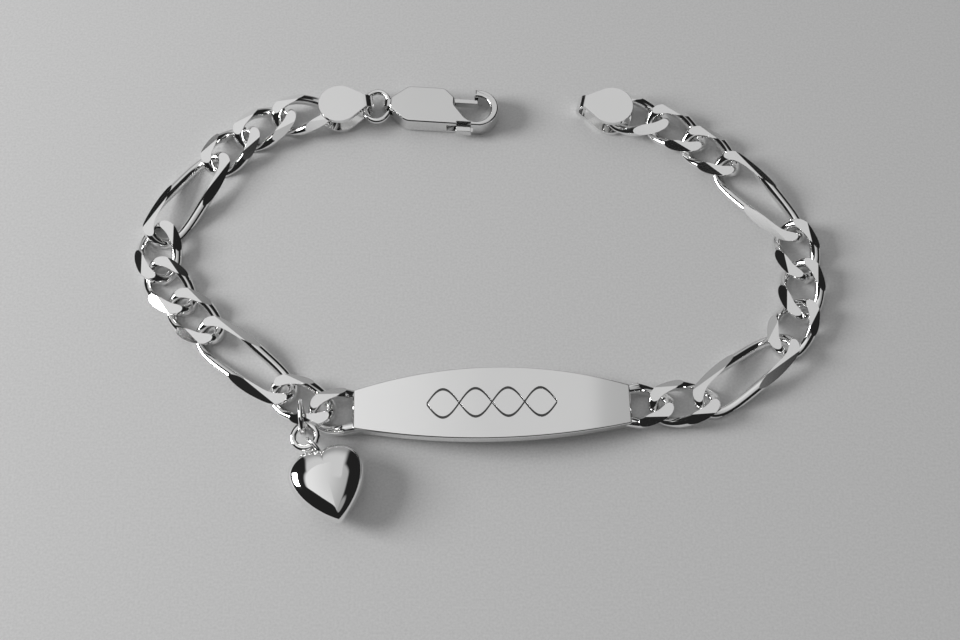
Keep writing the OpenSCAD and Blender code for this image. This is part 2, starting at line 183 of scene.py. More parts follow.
# %% [markdown]
# A figaro link starts as a ring of round wire. Seen from above its middle line is an oval, or
# for the long links a rounded bar, and it is twisted up and down once on the way round so that
# neighbours hook into each other. The formula below is the same one that the solids follow,
# so the polished link fills its solid.

# %% The middle line of a link
OVAL = 2
STRAIGHT_SIDED = 4


def twist_gain(power):
    """The factor that makes the twist reach its full rise."""
    return 1 / ((2 / (power + 2)) ** (1 / power) * sqrt(power / (power + 2)))


def link_point(angle, half, power, rise):
    """A point of a link's middle line, whose power makes it an oval or straight sided."""
    u = cos(angle)
    v = sqrt(max(0, 1 - abs(u) ** power))
    v = -v if sin(angle) < 0 else v
    return Vector((half * u, WIRE_ROW * v, -rise * twist_gain(power) * u * v))


def link_path(half, power, rise, steps):
    """A closed middle line in equal steps of the angle."""
    return [link_point((i + 0.5) * 2 * pi / steps, half, power, rise) for i in range(steps)]


print("twist of short and long links:", [round(twist_gain(p), 3) for p in (OVAL, STRAIGHT_SIDED)])


# %% [markdown]
# Geometry Nodes do the bending and the filing, because every wire of the bracelet is made the
# same way. The tree turns a line into round wire, and where the wire is filed it keeps only
# what lies inside a six-sided bar: a flat above and below, and two slanted faces at each side.
# The edges that the cut leaves are marked sharp, which is what makes a filed link sparkle.

# %% Geometry Nodes: bend wire along a line and file it
FILE_BAR = 40.0
HEXAGON_HIGH = sqrt(3) / 2


def make_wire_tree():
    group = bpy.data.node_groups.new("Bend and file wire", "GeometryNodeTree")
    group.is_modifier = True
    sockets = [
        ("Line", "NodeSocketGeometry"),
        ("Wire radius", "NodeSocketFloat"),
        ("Sides", "NodeSocketInt"),
        ("Filed", "NodeSocketBool"),
        ("Filed height", "NodeSocketFloat"),
        ("Flat reach", "NodeSocketFloat"),
        ("Bevel run", "NodeSocketFloat"),
        ("Finish", "NodeSocketMaterial"),
    ]
    for name, kind in sockets:
        group.interface.new_socket(name, in_out="INPUT", socket_type=kind)
    group.interface.new_socket("Wire", in_out="OUTPUT", socket_type="NodeSocketGeometry")

    tree = Tree(group)
    given = tree.node("NodeGroupInput")
    height = given.output("Filed height")
    line = tree.node("GeometryNodeMeshToCurve", {}, {0: given.output("Line")})
    round_section = tree.node(
        "GeometryNodeCurvePrimitiveCircle",
        {"mode": "RADIUS"},
        {"Resolution": given.output("Sides"), "Radius": given.output("Wire radius")},
    )
    wire = tree.node(
        "GeometryNodeCurveToMesh",
        {},
        {"Curve": line, "Profile Curve": round_section, "Fill Caps": True},
    )
    round_wire = tree.node("GeometryNodeSetShadeSmooth", {"domain": "FACE"}, {0: wire})

    hexagon = tree.node(
        "GeometryNodeMeshCylinder",
        {"fill_type": "NGON"},
        {"Vertices": 6, "Radius": 1.0, "Depth": FILE_BAR},
        output="Mesh",
    )
    place = tree.node("GeometryNodeInputPosition")
    corner = tree.node("ShaderNodeSeparateXYZ", {}, {0: place})
    level = corner.output("Y") / HEXAGON_HIGH
    reach = given.output("Flat reach") + given.output("Bevel run") * (1 - level.size())
    bar_place = tree.node(
        "ShaderNodeCombineXYZ",
        {},
        {"X": corner.output("Z"), "Y": corner.output("X").sign() * reach, "Z": level * height * 0.5},
    )
    bar = tree.node("GeometryNodeSetPosition", {}, {"Geometry": hexagon, "Position": bar_place})
    cut = tree.node(
        "GeometryNodeMeshBoolean",
        {"operation": "INTERSECT", "solver": "EXACT"},
        {1: [round_wire, bar]},
    )
    crisp = tree.node(
        "GeometryNodeSetShadeSmooth",
        {"domain": "EDGE"},
        {0: cut, "Selection": cut.output("Intersecting Edges"), "Shade Smooth": False},
    )
    chosen = tree.node(
        "GeometryNodeSwitch",
        {"input_type": "GEOMETRY"},
        {"Switch": given.output("Filed"), "False": round_wire, "True": crisp},
    )
    real = tree.node("GeometryNodeRealizeInstances", {}, {0: chosen})
    dressed = tree.node("GeometryNodeSetMaterial", {}, {0: real, "Material": given.output("Finish")})
    tree.node("NodeGroupOutput", {}, {0: dressed})
    return group


wire_tree = make_wire_tree()
print("wire tree:", len(wire_tree.nodes), "nodes")

# %% [markdown]
# A line of points becomes a piece of wire in one call. The modifier is taken off again by
# keeping only its result, so that each finished piece is a mesh with its place in it.

# %% Wire as a plain mesh


def on_bench(name, data):
    """A new object in the scene, for a mesh, a lamp or the camera."""
    thing = bpy.data.objects.new(name, data)
    bpy.context.scene.collection.objects.link(thing)
    return thing


def taken_off(thing):
    """The mesh that an object's modifiers make; the object itself is removed."""
    bpy.context.view_layer.update()
    ready = thing.evaluated_get(bpy.context.evaluated_depsgraph_get())
    mesh = bpy.data.meshes.new_from_object(ready)
    bpy.data.objects.remove(thing)
    return mesh


def wire_mesh(line, wire, material, closed=True, filed=False, sides=32):
    """Round wire along a line of points, filed flat if asked."""
    edges = [(i, i + 1) for i in range(len(line) - 1)]
    if closed:
        edges.append((len(line) - 1, 0))
    mesh = bpy.data.meshes.new("line")
    mesh.from_pydata(line, edges, [])
    thing = on_bench("wire", mesh)
    bend = thing.modifiers.new("bend", "NODES")
    bend.node_group = wire_tree
    values = {
        "Wire radius": wire / 2,
        "Sides": sides,
        "Filed": filed,
        "Filed height": FILED_HEIGHT,
        "Flat reach": FLAT_REACH,
        "Bevel run": FILED_HEIGHT / 2 / tan(radians(BEVEL_SLOPE)),
        "Finish": material,
    }
    for socket in wire_tree.interface.items_tree:
        if socket.in_out == "INPUT" and socket.name in values:
            bend[socket.identifier] = values[socket.name]
    return taken_off(thing)


print("sockets of the wire tree:", [s.name for s in wire_tree.interface.items_tree])

# %% [markdown]
# Sheet and castings start from a flat outline, like a pattern laid on the metal. It is raised to
# a solid, other solids are cut from it or joined to it, and its edges are rounded at the end.

# %% Solids from an outline
UPRIGHT = Matrix.Rotation(pi / 2, 4, "X")
ROUND_SIDES = 48


def drawn_in(outline, inset):
    """The outline moved inwards by a distance, corner by corner."""
    moved = []
    for i, corner in enumerate(outline):
        corner = Vector(corner)
        before = (corner - Vector(outline[i - 1])).normalized()
        after = (Vector(outline[(i + 1) % len(outline)]) - corner).normalized()
        inward = Vector((-before.y - after.y, before.x + after.x)).normalized()
        moved.append(corner + inward * inset / max(0.5, sqrt((1 + before.dot(after)) / 2)))
    return moved


def bridge(body, rings):
    """Faces from each ring of corners to the next one."""
    for ring, above in zip(rings, rings[1:]):
        for i, corner in enumerate(ring):
            after = (i + 1) % len(ring)
            body.faces.new((corner, ring[after], above[after], above[i]))


def mesh_of(name, body):
    """The plain mesh of a body that is finished."""
    mesh = bpy.data.meshes.new(name)
    body.to_mesh(mesh)
    body.free()
    return mesh


def prism(outline, low, high, soft=0.0, steps=5):
    """A solid with a flat outline, from one height to another; its rims can be rounded."""
    turns = [pi / 2 * i / steps for i in range(steps + 1)] if soft else [pi / 2]
    rims = [(soft * (1 - sin(a)), low + soft * (1 - cos(a))) for a in turns]
    rims += [(inset, low + high - z) for inset, z in reversed(rims)]
    body = bmesh.new()
    rings = [[body.verts.new((p[0], p[1], z)) for p in drawn_in(outline, inset)] for inset, z in rims]
    body.faces.new(reversed(rings[0]))
    body.faces.new(rings[-1])
    bridge(body, rings)
    return mesh_of("prism", body)


def worked(mesh, cuts=(), softened=0.0, steps=3, sharper_than=40):
    """A mesh after its cuts, with its edges rounded and its flats kept flat."""
    thing = on_bench("work", mesh)
    tools = []
    for operation, tool_mesh in cuts:
        tool = on_bench("tool", tool_mesh)
        tools.append(tool)
        step = thing.modifiers.new("cut", "BOOLEAN")
        step.operation = operation
        step.solver = "EXACT"
        step.object = tool
    if softened:
        bevel = thing.modifiers.new("edges", "BEVEL")
        bevel.width = softened
        bevel.segments = steps
        bevel.limit_method = "ANGLE"
        bevel.angle_limit = radians(sharper_than)
        bevel.use_clamp_overlap = False
    mesh = taken_off(thing)
    for tool in tools:
        bpy.data.objects.remove(tool)
    mesh.shade_smooth()
    mesh.set_sharp_from_angle(angle=radians(sharper_than))
    thing = on_bench("shade", mesh)
    weigh = thing.modifiers.new("flats", "WEIGHTED_NORMAL")
    weigh.weight = 100
    weigh.keep_sharp = True
    return taken_off(thing)


def arc(centre, radius, start, end, steps):
    """Points along an arc, from one heading to another in degrees."""
    angles = [radians(start + (end - start) * i / steps) for i in range(steps + 1)]
    return [(centre[0] + radius * cos(a), centre[1] + radius * sin(a)) for a in angles]


def circle(centre, radius, start=0.0):
    """A closed round outline, whose first corner stands at a heading in degrees."""
    return arc(centre, radius, start, start + 360 - 360 / ROUND_SIDES, ROUND_SIDES - 1)


def rounded(before, corner, after, radius, steps=8):
    """The arc that rounds one corner of an outline."""
    corner = Vector(corner)
    into = (Vector(before) - corner).normalized()
    out = (Vector(after) - corner).normalized()
    half_turn = acos(max(-1, min(1, into.dot(out)))) / 2
    middle = corner + (into + out).normalized() * (radius / sin(half_turn))
    first = corner + into * (into.dot(middle - corner))
    last = corner + out * (out.dot(middle - corner))
    start = atan2(*(first - middle).yx)
    turn = atan2(*(last - middle).yx) - start
    turn = (turn + pi) % (2 * pi) - pi
    angles = [start + turn * i / steps for i in range(steps + 1)]
    return [(middle.x + radius * cos(a), middle.y + radius * sin(a)) for a in angles]


print("corners of a round outline:", len(circle((0, 0), 1)))

# %% [markdown]
# A finished piece is laid where its solid lies: its heading is counted from the right, against
# the clock, and its slope lifts its far end. The frame is then told what the piece stands for.

# %% Laying a piece in its place


def turned(heading, slope):
    """The turn that points a piece along a heading and lifts it by a slope, in degrees."""
    return Matrix.Rotation(radians(heading), 4, "Z") @ Matrix.Rotation(-radians(slope), 4, "Y")


def step_along(heading, length):
    """A level step in one direction."""
    return Vector((cos(radians(heading)), sin(radians(heading)), 0)) * length


def laid(name, mesh, material, spot, heading=0.0, slope=0.0):
    """A piece of the bracelet: its mesh is scaled to metres and laid in its place."""
    mesh.transform(Matrix.Scale(MM, 4) @ Matrix.Translation(Vector(spot)) @ turned(heading, slope))
    mesh.name = name
    mesh.materials.clear()
    mesh.materials.append(material)
    return on_bench(name, mesh)


def belongs(piece, node, body):
    """Tells the frame which solid a piece stands for and what it moves with."""
    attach(piece, body)
    if node:
        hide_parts(node)


print("one step to the left:", [round(v, 3) for v in step_along(180, 1)])

# %% [markdown]
# Polished silver is a clean metal: nearly white, and smooth enough to mirror the room. What
# keeps it from looking like chrome plate is the hand work. Filing and buffing leave hair-fine
# lines, and wear leaves slightly duller patches, so roughness and a very shallow bump follow a
# noise that is stretched along the strokes.

# %% Silver finishes
PATCH_SCALE = 160.0
WORN_TINT = (0.96, 0.96, 0.955)
GRAIN_STRENGTH = 0.2
# The colour of the engraved lines is painted shade, for the shade that falls in the grooves.
GROOVE_PAINTED_SHADE = 0.1
GROOVE_DEPTH = 5e-5
GROOVE_DULLNESS = 0.3


def new_material(name):
    """An empty material, with the tree that fills it."""
    material = bpy.data.materials.new(name)
    material.use_nodes = True
    return material, Tree(material.node_tree)


def surfaced(tree, sockets):
    """Ends a tree with one surface shader."""
    surface = tree.node("ShaderNodeBsdfPrincipled", {}, sockets)
    tree.node("ShaderNodeOutputMaterial", {}, {"Surface": surface})


def silver(name, shade, roughness, grain_scale, grain_depth, stretch=(1.0, 1.0, 1.0), cut=None):
    """Polished silver with buffing lines; the scales are per metre of the piece."""
    material, tree = new_material(name)
    place = tree.node("ShaderNodeTexCoord", output="Object")
    along = tree.node("ShaderNodeMapping", {}, {"Vector": place, "Scale": stretch})
    strokes = {"Vector": along, "Scale": grain_scale, "Detail": 3.0, "Roughness": 0.6}
    grain = tree.node("ShaderNodeTexNoise", {}, strokes)
    patches = tree.node("ShaderNodeTexNoise", {}, {"Vector": place, "Scale": PATCH_SCALE, "Detail": 2.0})
    worn = (*[shade * part for part in WORN_TINT], 1)
    tint = tree.mixed(patches, worn, grey(shade))
    relief = {"Strength": GRAIN_STRENGTH, "Distance": grain_depth, "Height": grain}
    bump = tree.node("ShaderNodeBump", {}, relief)
    dullness = roughness * (0.8 + 0.4 * patches)
    if cut:
        groove = cut(tree, place)
        # Painted shade: the cut lines are painted dark; their duller roughness and their bump are real.
        tint = tree.mixed(groove, tint, grey(GROOVE_PAINTED_SHADE))
        dullness = dullness + GROOVE_DULLNESS * groove
        relief = {"Distance": GROOVE_DEPTH, "Height": groove, "Normal": bump}
        bump = tree.node("ShaderNodeBump", {"invert": True}, relief)
    surfaced(tree, {"Base Color": tint, "Metallic": 1.0, "Roughness": dullness, "Normal": bump})
    return material


link_silver = silver("filed link silver", 0.95, 0.07, 2500.0, 2e-6)
cap_silver = silver("cap silver", 0.94, 0.1, 2000.0, 2e-6)
# The clasp's silver is painted darker than the other pieces' silver: painted shade for the dimmer light
# on the clasp, the trigger and the pin.
shaded_clasp_silver = silver("clasp silver with painted shade", 0.85, 0.12, 1800.0, 3e-6)
charm_silver = silver("charm silver", 0.95, 0.05, 2000.0, 1e-6)
print("finishes:", [m.name for m in bpy.data.materials if "silver" in m.name])

# %% [markdown]
# Such a plate is engraved by hand. Here it carries a plain braid of two crossing waves. A cut
# line could be a real groove in the mesh, but it is so fine that a mask is enough: it is duller
# than the metal round it and has a shallow bump, and its colour is painted dark as the shade
# that falls in the groove, so one mask drives colour, roughness and bump together.

# %% The engraved braid
BRAID_LENGTH = 15.0
BRAID_HALF_WIDTH = 1.75
BRAID_LOOPS = 4
STROKE = 0.11
STROKE_EDGE = 0.05
UNDER_THE_TOP = 1.9
NEAR_THE_TOP = 2.0


def braid(tree, place):
    """A mask of the cut lines on top of the plate, from places in metres."""
    parts = tree.node("ShaderNodeSeparateXYZ", {}, {0: place})
    right = parts / MM - plate_middle.x
    up = parts.output("Y") / MM - plate_middle.y
    turn = radians(PLATE_HEADING)
    along = right * cos(turn) + up * sin(turn)
    sideways = up * cos(turn) - right * sin(turn)
    wave = BRAID_HALF_WIDTH * (along * (pi * BRAID_LOOPS / BRAID_LENGTH)).sine()
    first = 1 - (sideways + wave).size().fade(STROKE, STROKE + STROKE_EDGE)
    second = 1 - (sideways - wave).size().fade(STROKE, STROKE + STROKE_EDGE)
    inside = 1 - along.size().fade(BRAID_LENGTH / 2 - STROKE_EDGE, BRAID_LENGTH / 2)
    on_top = parts.output("Z").fade(UNDER_THE_TOP * MM, NEAR_THE_TOP * MM)
    return tree.larger(first, second) * inside * on_top


# The plate's finish carries the braid, whose lines are painted with shade.
plate_silver = silver("plate silver", 0.95, 0.09, 1500.0, 2e-6, (0.15, 1.0, 1.0), cut=braid)
print("nodes of the plate finish:", len(plate_silver.node_tree.nodes))

# %% [markdown]
# The chain lies in an open loop, so each link has its own heading and lift. The table is the
# one that the solids follow: the walk starts at the plate's loops and adds one pitch a link.
# Two links of each side are long ones.

# %% Walk along the chain
LONG_ONES = (1, 5)
LEFT_HEADINGS = (153, 140, 134, 125, 93, 59, 47, 30, 8)
LEFT_LIFTS = (0.22, 0.1, 0.03, 0.01, 0.004, 0.002, 0.012, 0.06, 0.25, 0.5)
RIGHT_HEADINGS = (4.5, 37, 62, 85, 97, 128, 138, 145, 168)
RIGHT_LIFTS = (0, 0, 0, 0, 0, 0.002, 0.012, 0.06, 0.25, 0.5)


def walk(start, headings, lifts):
    """Place, heading and slope of every link, and the last hooking point."""
    spots = []
    joint = Vector((start.x, start.y, FILED_HEIGHT / 2))
    for i, heading in enumerate(headings):
        pitch = LONG_PITCH if i in LONG_ONES else SHORT_PITCH
        after = joint + step_along(heading, pitch)
        middle = (joint + after) / 2
        middle.z += (lifts[i] + lifts[i + 1]) / 2
        spots.append((middle, heading, degrees(asin((lifts[i + 1] - lifts[i]) / pitch))))
        joint = after
    return spots, joint


half_plate = step_along(PLATE_HEADING, PLATE_LENGTH / 2 + LOOP_REACH)
left_spots, left_end = walk(plate_middle - half_plate, LEFT_HEADINGS, LEFT_LIFTS)
right_spots, right_end = walk(plate_middle + half_plate, RIGHT_HEADINGS, RIGHT_LIFTS)
print("links:", len(left_spots) + len(right_spots))

# %% [markdown]
# Only two meshes are bent and filed, one of each kind, and every link is a copy that is laid
# in its place. The last link of each side is the one that is soldered into an end cap.

# %% The links
short_path = link_path(SHORT_HALF, OVAL, SHORT_RISE, steps=144)
long_path = link_path(LONG_HALF, STRAIGHT_SIDED, LONG_RISE, steps=200)
short_mesh = wire_mesh(short_path, LINK_WIRE, link_silver, filed=True)
long_mesh = wire_mesh(long_path, LINK_WIRE, link_silver, filed=True)
print("short link faces:", len(short_mesh.polygons), "long link faces:", len(long_mesh.polygons))

for side, spots in (("left", left_spots), ("right", right_spots)):
    for i, (spot, heading, slope) in enumerate(spots):
        source = long_mesh if i in LONG_ONES else short_mesh
        last = i == len(spots) - 1
        name = f"{side}_soldered_link" if last else f"silver_{side}_link_{i + 1}"
        link = laid(name, source.copy(), link_silver, spot, heading, slope)
        belongs(link, None if last else f"{side}_link_{i + 1}", BRACELET)

# %% [markdown]
# The plate bows upwards along its length and is widest in the middle. It is a strip of
# cross sections, and a bevel rounds its edge the way a buffing wheel does. Half a link is
# soldered to each end, so its wire runs straight into the plate.

# %% The plate
PLATE_MID_WIDTH = 8.9
PLATE_END_WIDTH = 4.8
PLATE_MID_THICKNESS = 1.35
PLATE_END_THICKNESS = 1.2
PLATE_BOW = 1.25
PLATE_END_TOP = 1.65
PLATE_STEPS = 96
PLATE_EDGE = 0.2
ROOT_DEPTH = 1.4
ROOT_ROW = 1.8
LOOP_STEPS = 72


def plate_mesh():
    """Four corners at each step along the plate, from its left end to its right end."""
    body = bmesh.new()
    rings = []
    for i in range(PLATE_STEPS + 1):
        t = 2 * i / PLATE_STEPS - 1
        share = 1 - t * t
        half = (PLATE_END_WIDTH + (PLATE_MID_WIDTH - PLATE_END_WIDTH) * share) / 2
        top = PLATE_END_TOP + PLATE_BOW * share
        low = top - PLATE_END_THICKNESS - (PLATE_MID_THICKNESS - PLATE_END_THICKNESS) * share
        x = t * PLATE_LENGTH / 2
        corners = [(x, -half, low), (x, -half, top), (x, half, top), (x, half, low)]
        rings.append([body.verts.new(c) for c in corners])
    bridge(body, rings)
    body.faces.new(reversed(rings[0]))
    body.faces.new(rings[-1])
    bmesh.ops.recalc_face_normals(body, faces=body.faces)
    return mesh_of("plate", body)


plate_spot = Vector((plate_middle.x, plate_middle.y, 0))
buffed_plate = worked(plate_mesh(), softened=PLATE_EDGE)
plate = laid("silver_plate", buffed_plate, plate_silver, plate_spot, PLATE_HEADING)
belongs(plate, "id_plate", BRACELET)

loop_middle = LOOP_REACH + (LINK_WIRE + LINK_PLAY) / 2 - SHORT_HALF
loop_line = [Vector((loop_middle + ROOT_DEPTH, ROOT_ROW, 0))]
loop_angles = [pi / 2 + pi * i / LOOP_STEPS for i in range(LOOP_STEPS + 1)]
loop_line += [link_point(a, SHORT_HALF, OVAL, SHORT_RISE) for a in loop_angles]
loop_line.append(Vector((loop_middle + ROOT_DEPTH, -ROOT_ROW, 0)))
loop_mesh = wire_mesh(loop_line, LINK_WIRE, plate_silver, closed=False, filed=True)
for name, side, heading in (("left_plate_loop", -1, 0), ("right_plate_loop", 1, 180)):
    spot = plate_spot + step_along(PLATE_HEADING, side * (PLATE_LENGTH / 2 + loop_middle))
    spot.z = FILED_HEIGHT / 2
    loop = laid(name, loop_mesh.copy(), plate_silver, spot, heading + PLATE_HEADING)
    belongs(loop, None, BRACELET)
print("plate faces:", len(plate.data.polygons), "faces of a loop:", len(loop_mesh.polygons))

# %% [markdown]
# An end cap is a tag of sheet silver, round at one end and folded over at the other, with the
# last link soldered between its two round ends. It is cut from its outline and its folded
# profile, as if a saw had gone round it from above and from the side.

# %% End caps
CAP_DISC = 5.3
CAP_REACH = 4.4
CAP_NECK = 1.8
CAP_NECK_LENGTH = 1.1
CAP_HEIGHT = 2.9
CAP_WALL = 0.55
CAP_BEND_WALL = 0.4
CAP_SEATS = {"left": 1.8, "right": 0.7}
TAPER_LEAD = 14
CAP_EDGE = 0.07


def cap_outline():
    """The tag from above: a disc that narrows to the folded neck."""
    taper = degrees(acos((CAP_DISC - CAP_NECK) / 2 / CAP_REACH)) - TAPER_LEAD
    neck_start = CAP_REACH - CAP_NECK_LENGTH
    outline = arc((0, 0), CAP_DISC / 2, taper, 360 - taper, steps=72)
    outline += [(neck_start, -CAP_NECK / 2), (CAP_REACH, -CAP_NECK / 2)]
    outline += [(CAP_REACH, CAP_NECK / 2), (neck_start, CAP_NECK / 2)]
    return outline


def cap_profile():
    """The folded strip from the side: along the cap, then up."""
    bend = CAP_HEIGHT / 2
    inner = bend - CAP_WALL
    inner_middle = (CAP_REACH - CAP_BEND_WALL - inner, bend)
    outline = [(-CAP_DISC, 0)]
    outline += arc((CAP_REACH - bend, bend), bend, -90, 90, steps=24)
    outline += [(-CAP_DISC, CAP_HEIGHT), (-CAP_DISC, CAP_HEIGHT - CAP_WALL)]
    outline += arc(inner_middle, inner, 90, -90, steps=20)
    outline += [(-CAP_DISC, CAP_WALL)]
    return outline


for side, end, headings in (("left", left_end, LEFT_HEADINGS), ("right", right_end, RIGHT_HEADINGS)):
    folded = prism(cap_profile(), -CAP_DISC, CAP_DISC)
    folded.transform(UPRIGHT)
    tall = prism(cap_outline(), -CAP_HEIGHT, 2 * CAP_HEIGHT)
    cap_mesh = worked(tall, [("INTERSECT", folded)], softened=CAP_EDGE, steps=2)
    spot = end + step_along(headings[-1], CAP_SEATS[side])
    cap = laid(f"{side}_cap_tag", cap_mesh, cap_silver, (spot.x, spot.y, 0), headings[-1])
    belongs(cap, f"{side}_end_cap", BRACELET)
    print(side, "cap faces:", len(cap.data.polygons))

# %% [markdown]
# The jump ring is an oval of thin wire. Its solid lies level in the fold of the left cap, and
# its middle is the middle of that solid's box.

# %% Jump ring
RING_WIRE = 0.75
RING_LENGTH = 3.95
RING_BREADTH = 5.1
RING_HEADING = -2


def ring_line(half_length, half_breadth, steps=96):
    """The middle line of an oval ring."""
    angles = [i * 2 * pi / steps for i in range(steps)]
    return [Vector((half_length * cos(a), half_breadth * sin(a), 0)) for a in angles]


jump_line = ring_line((RING_LENGTH - RING_WIRE) / 2, (RING_BREADTH - RING_WIRE) / 2)
jump_ring = laid(
    "silver_jump_ring",
    wire_mesh(jump_line, RING_WIRE, cap_silver, sides=24),
    cap_silver,
    node_middle("jump_ring"),
    RING_HEADING,
)
belongs(jump_ring, "jump_ring", BRACELET)
print("jump ring faces:", len(jump_ring.data.polygons))

# %% [markdown]
# The trigger clasp is cast in one piece with its hook, then tumbled, so its top edges are soft.
# The outline runs along the near side, round the hook to the nose, back round the inside of
# the hook and along the far side. The trigger sits in a slot that opens in the near wall.

# %% Sizes of the clasp
CLASP_HEIGHT = 2.3
CLASP_HALF = 2.65
CLASP_HEADING = -4
TAIL_HALF = 0.8
TAIL_X = 0.08
SHOULDER = 2.2
FAR_CORNER = (6.85, 2.65)
BODY_END = (8.2, 1.3)
HOOK_MIDDLE = (11.1, 0)
HOOK_OUTER = 2.7
HOOK_START = -79
HOLE_MIDDLE = (10.95, -0.2)
HOOK_HOLE = 1.85
MOUTH_MIDDLE = (9.15, 0.6)
MOUTH_ROUND = 0.95
NOSE_X = 10.65
NEAR_ROUND = 1.6
FAR_ROUND = 1.2
END_ROUND = 0.45
CLASP_RIM = 0.28
print("from the clasp's eye to its tip in mm:", round(HOOK_MIDDLE[0] + HOOK_OUTER, 2))

# %% Outline of the clasp


def clasp_outline():
    """The clasp from above, against the clock from its tail."""
    near_shoulder = (SHOULDER, -CLASP_HALF)
    far_shoulder = (SHOULDER, CLASP_HALF)
    nose_turn = degrees(acos((NOSE_X - HOOK_MIDDLE[0]) / HOOK_OUTER))
    hole_start = degrees(acos((NOSE_X - HOLE_MIDDLE[0]) / HOOK_HOLE))
    outline = [(TAIL_X, -TAIL_HALF)]
    outline += rounded((TAIL_X, -TAIL_HALF), near_shoulder, (HOOK_MIDDLE[0], -CLASP_HALF), NEAR_ROUND)
    outline += arc(HOOK_MIDDLE, HOOK_OUTER, HOOK_START, nose_turn, steps=48)
    across = Vector(HOLE_MIDDLE) - Vector(MOUTH_MIDDLE)
    tangent_turn = degrees(atan2(across.y, across.x) - acos((MOUTH_ROUND - HOOK_HOLE) / across.length))
    outline += arc(HOLE_MIDDLE, HOOK_HOLE, hole_start, tangent_turn, steps=64)
    outline += arc(MOUTH_MIDDLE, MOUTH_ROUND, tangent_turn, -180, steps=12)
    outline += rounded((MOUTH_MIDDLE[0] - MOUTH_ROUND, 0), BODY_END, FAR_CORNER, END_ROUND)
    outline += rounded(BODY_END, FAR_CORNER, far_shoulder, FAR_ROUND)
    outline += rounded(FAR_CORNER, far_shoulder, (TAIL_X, TAIL_HALF), FAR_ROUND)
    outline.append((TAIL_X, TAIL_HALF))
    return outline


print("corners of the clasp's outline:", len(clasp_outline()))

# %% [markdown]
# The hollow parts are cut afterwards, as solids that are taken away: the bore of the eye, the
# slot and the round pocket of the trigger, and a notch over its thumb tab.

# %% Hollows of the clasp
EYE_RADIUS = 0.95
EYE_HALF = 0.5
EYE_PLAY = 0.22
EYE_BORE = RING_WIRE / 2 + EYE_PLAY
LEVER_HEIGHT = 1.0
LEVER_PLAY = 0.1
SLOT_LOW = CLASP_HEIGHT / 2 - LEVER_HEIGHT / 2 - LEVER_PLAY
SLOT_HIGH = SLOT_LOW + LEVER_HEIGHT + 2 * LEVER_PLAY
PIVOT = (7.0, 0.2)
HUB_RADIUS = 0.9
HUB_PLAY = 0.2
SLOT_OUTLINE = [(5.9, -0.5), (6.3, -2.35), (7.4, -2.35), (7.4, -3.3), (10.7, -3.3)]
SLOT_OUTLINE += [(10.7, -1.4), (9.6, 0.2), (8.7, 1.7), (7.2, 1.7), (6.3, 1)]
TAB_LEFT = 8.6
TAB_RIGHT = 10.5
NOTCH = [(TAB_LEFT, -3.65), (TAB_RIGHT, -3.65), (TAB_RIGHT, -2.25), (TAB_LEFT, -2.25)]


def lying_rod(radius, half, x, z):
    """A rod across the clasp, such as its eye or the hole through it."""
    half_side = 180 / ROUND_SIDES
    mesh = prism(circle((x, z), radius, half_side), -half, half)
    mesh.transform(UPRIGHT)
    return mesh


clasp_cuts = [
    ("DIFFERENCE", lying_rod(EYE_BORE, CLASP_HALF, 0, CLASP_HEIGHT / 2)),
    ("DIFFERENCE", prism(SLOT_OUTLINE, SLOT_LOW, SLOT_HIGH)),
    ("DIFFERENCE", prism(circle(PIVOT, HUB_RADIUS + HUB_PLAY), SLOT_LOW, SLOT_HIGH)),
    ("DIFFERENCE", prism(NOTCH, SLOT_LOW + LEVER_PLAY, CLASP_HEIGHT + 1)),
]
print("cuts:", len(clasp_cuts))

# %% Clasp body
rough_clasp = prism(clasp_outline(), 0, CLASP_HEIGHT, soft=CLASP_RIM)
clasp_eye_rod = ("UNION", lying_rod(EYE_RADIUS, EYE_HALF, 0, CLASP_HEIGHT / 2))
clasp_mesh = worked(rough_clasp, [clasp_eye_rod] + clasp_cuts)

# The eye's middle is where the jump ring's far end lies, half a ring beyond its own middle.
clasp_eye = node_middle("jump_ring") + step_along(RING_HEADING, (RING_LENGTH - RING_WIRE) / 2)
clasp = laid("silver_clasp", clasp_mesh, shaded_clasp_silver, (clasp_eye.x, clasp_eye.y, 0), CLASP_HEADING)
belongs(clasp, "clasp_body", BRACELET)
print("clasp faces:", len(clasp.data.polygons))

# %% [markdown]
# The trigger is stamped from sheet: a hub round the pin, a gate arm that closes the hook, and
# a thumb tab that stands out of the near side. It turns on its own body.

# %% Trigger
GATE_OUTER = 1.5
GATE_WIDTH = 0.65
GATE_INNER = GATE_OUTER - GATE_WIDTH
GATE_OVERLAP = 0.45
GATE_END = NOSE_X + GATE_OVERLAP
GATE_START = 8.0
TAB_SEAT = 0.25
TAB_STANDS_OUT = 0.65
TAB_ROOT = -CLASP_HALF + TAB_SEAT
TAB_END = -CLASP_HALF - TAB_STANDS_OUT
SKIRT_REACH = 2.43
SKIRT_START = -80
SKIRT_END = -degrees(acos((TAB_LEFT - PIVOT[0]) / SKIRT_REACH))
LEVER_RIM = 0.1
LEVER_OUTLINE = [(6.42, -0.42)]
LEVER_OUTLINE += arc(PIVOT, SKIRT_REACH, SKIRT_START, SKIRT_END, steps=8)
LEVER_OUTLINE += [(TAB_LEFT, TAB_END)]
LEVER_OUTLINE += [(TAB_RIGHT, TAB_END), (TAB_RIGHT, TAB_ROOT), (7.75, -0.1)]
LEVER_OUTLINE += [(GATE_START, GATE_INNER), (GATE_END, GATE_INNER)]
LEVER_OUTLINE += [(GATE_END, GATE_OUTER), (GATE_START, GATE_OUTER), (6.9, 1.04)]

